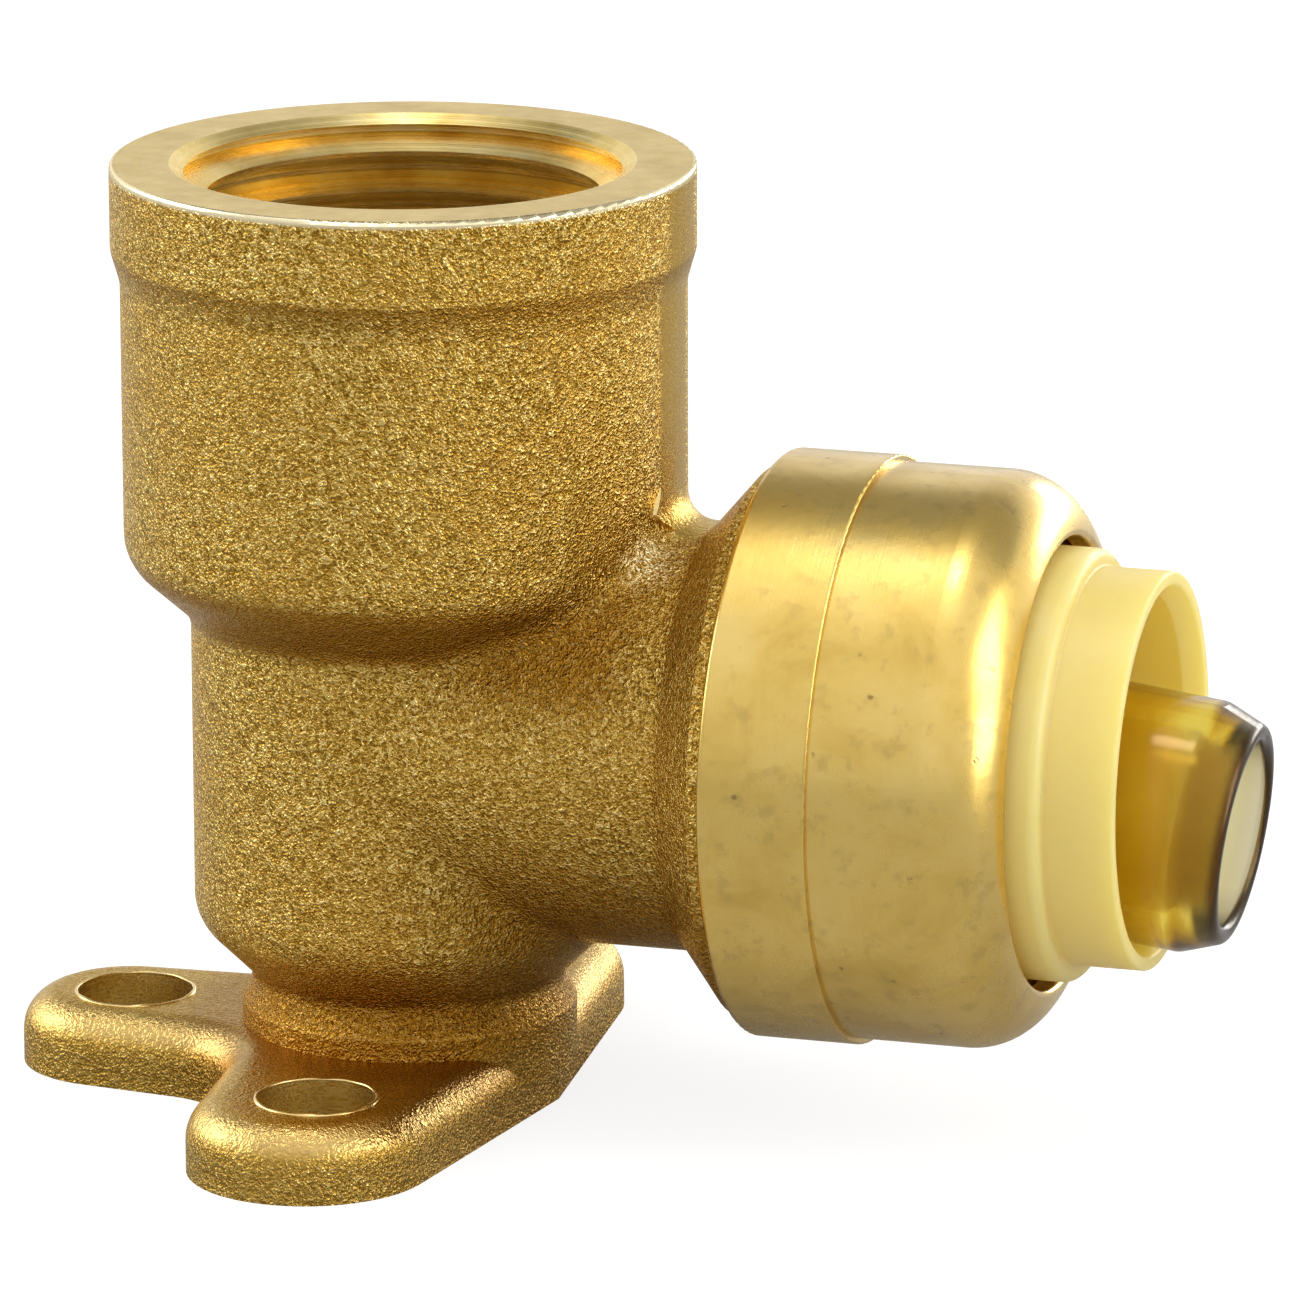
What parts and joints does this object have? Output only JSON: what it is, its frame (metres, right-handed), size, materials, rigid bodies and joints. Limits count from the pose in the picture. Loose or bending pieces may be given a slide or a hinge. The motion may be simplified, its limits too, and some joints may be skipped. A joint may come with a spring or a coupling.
{
  "type": "wall plate elbow",
  "caption": "Brass wall plate elbow with a threaded socket, a push-fit arm with a release collar and tube liner, and an eared plate for wall screws.",
  "frame": {"origin": "on the threaded socket's axis, on the plate's wall face", "axes": "+Z along the threaded socket towards its mouth, +X along the push-fit arm towards its mouth"},
  "size_m": [0.0603, 0.0386, 0.0447],
  "materials": {
    "forged_brass": "sand blasted",
    "drawn_brass": "satin",
    "cream_plastic": "satin",
    "spring_steel": "plain",
    "inner_plastic": "plain",
    "seal_rubber": "plain",
    "smoky_plastic": "glossy, see-through"
  },
  "bodies": {
    "fitting": {"elbow_body": "forged_brass", "retaining_cap": "drawn_brass", "grab_ring": "spring_steel", "seal_protector": "inner_plastic", "o_ring": "seal_rubber", "tube_liner": "smoky_plastic"},
    "collar": {"release_collar": "cream_plastic"}
  },
  "joints": [
    {"name": "collar_press", "type": "slide", "parent": "fitting", "child": "collar", "axis": [-1, 0, 0], "range_m": [0, 0.0025]}
  ]
}
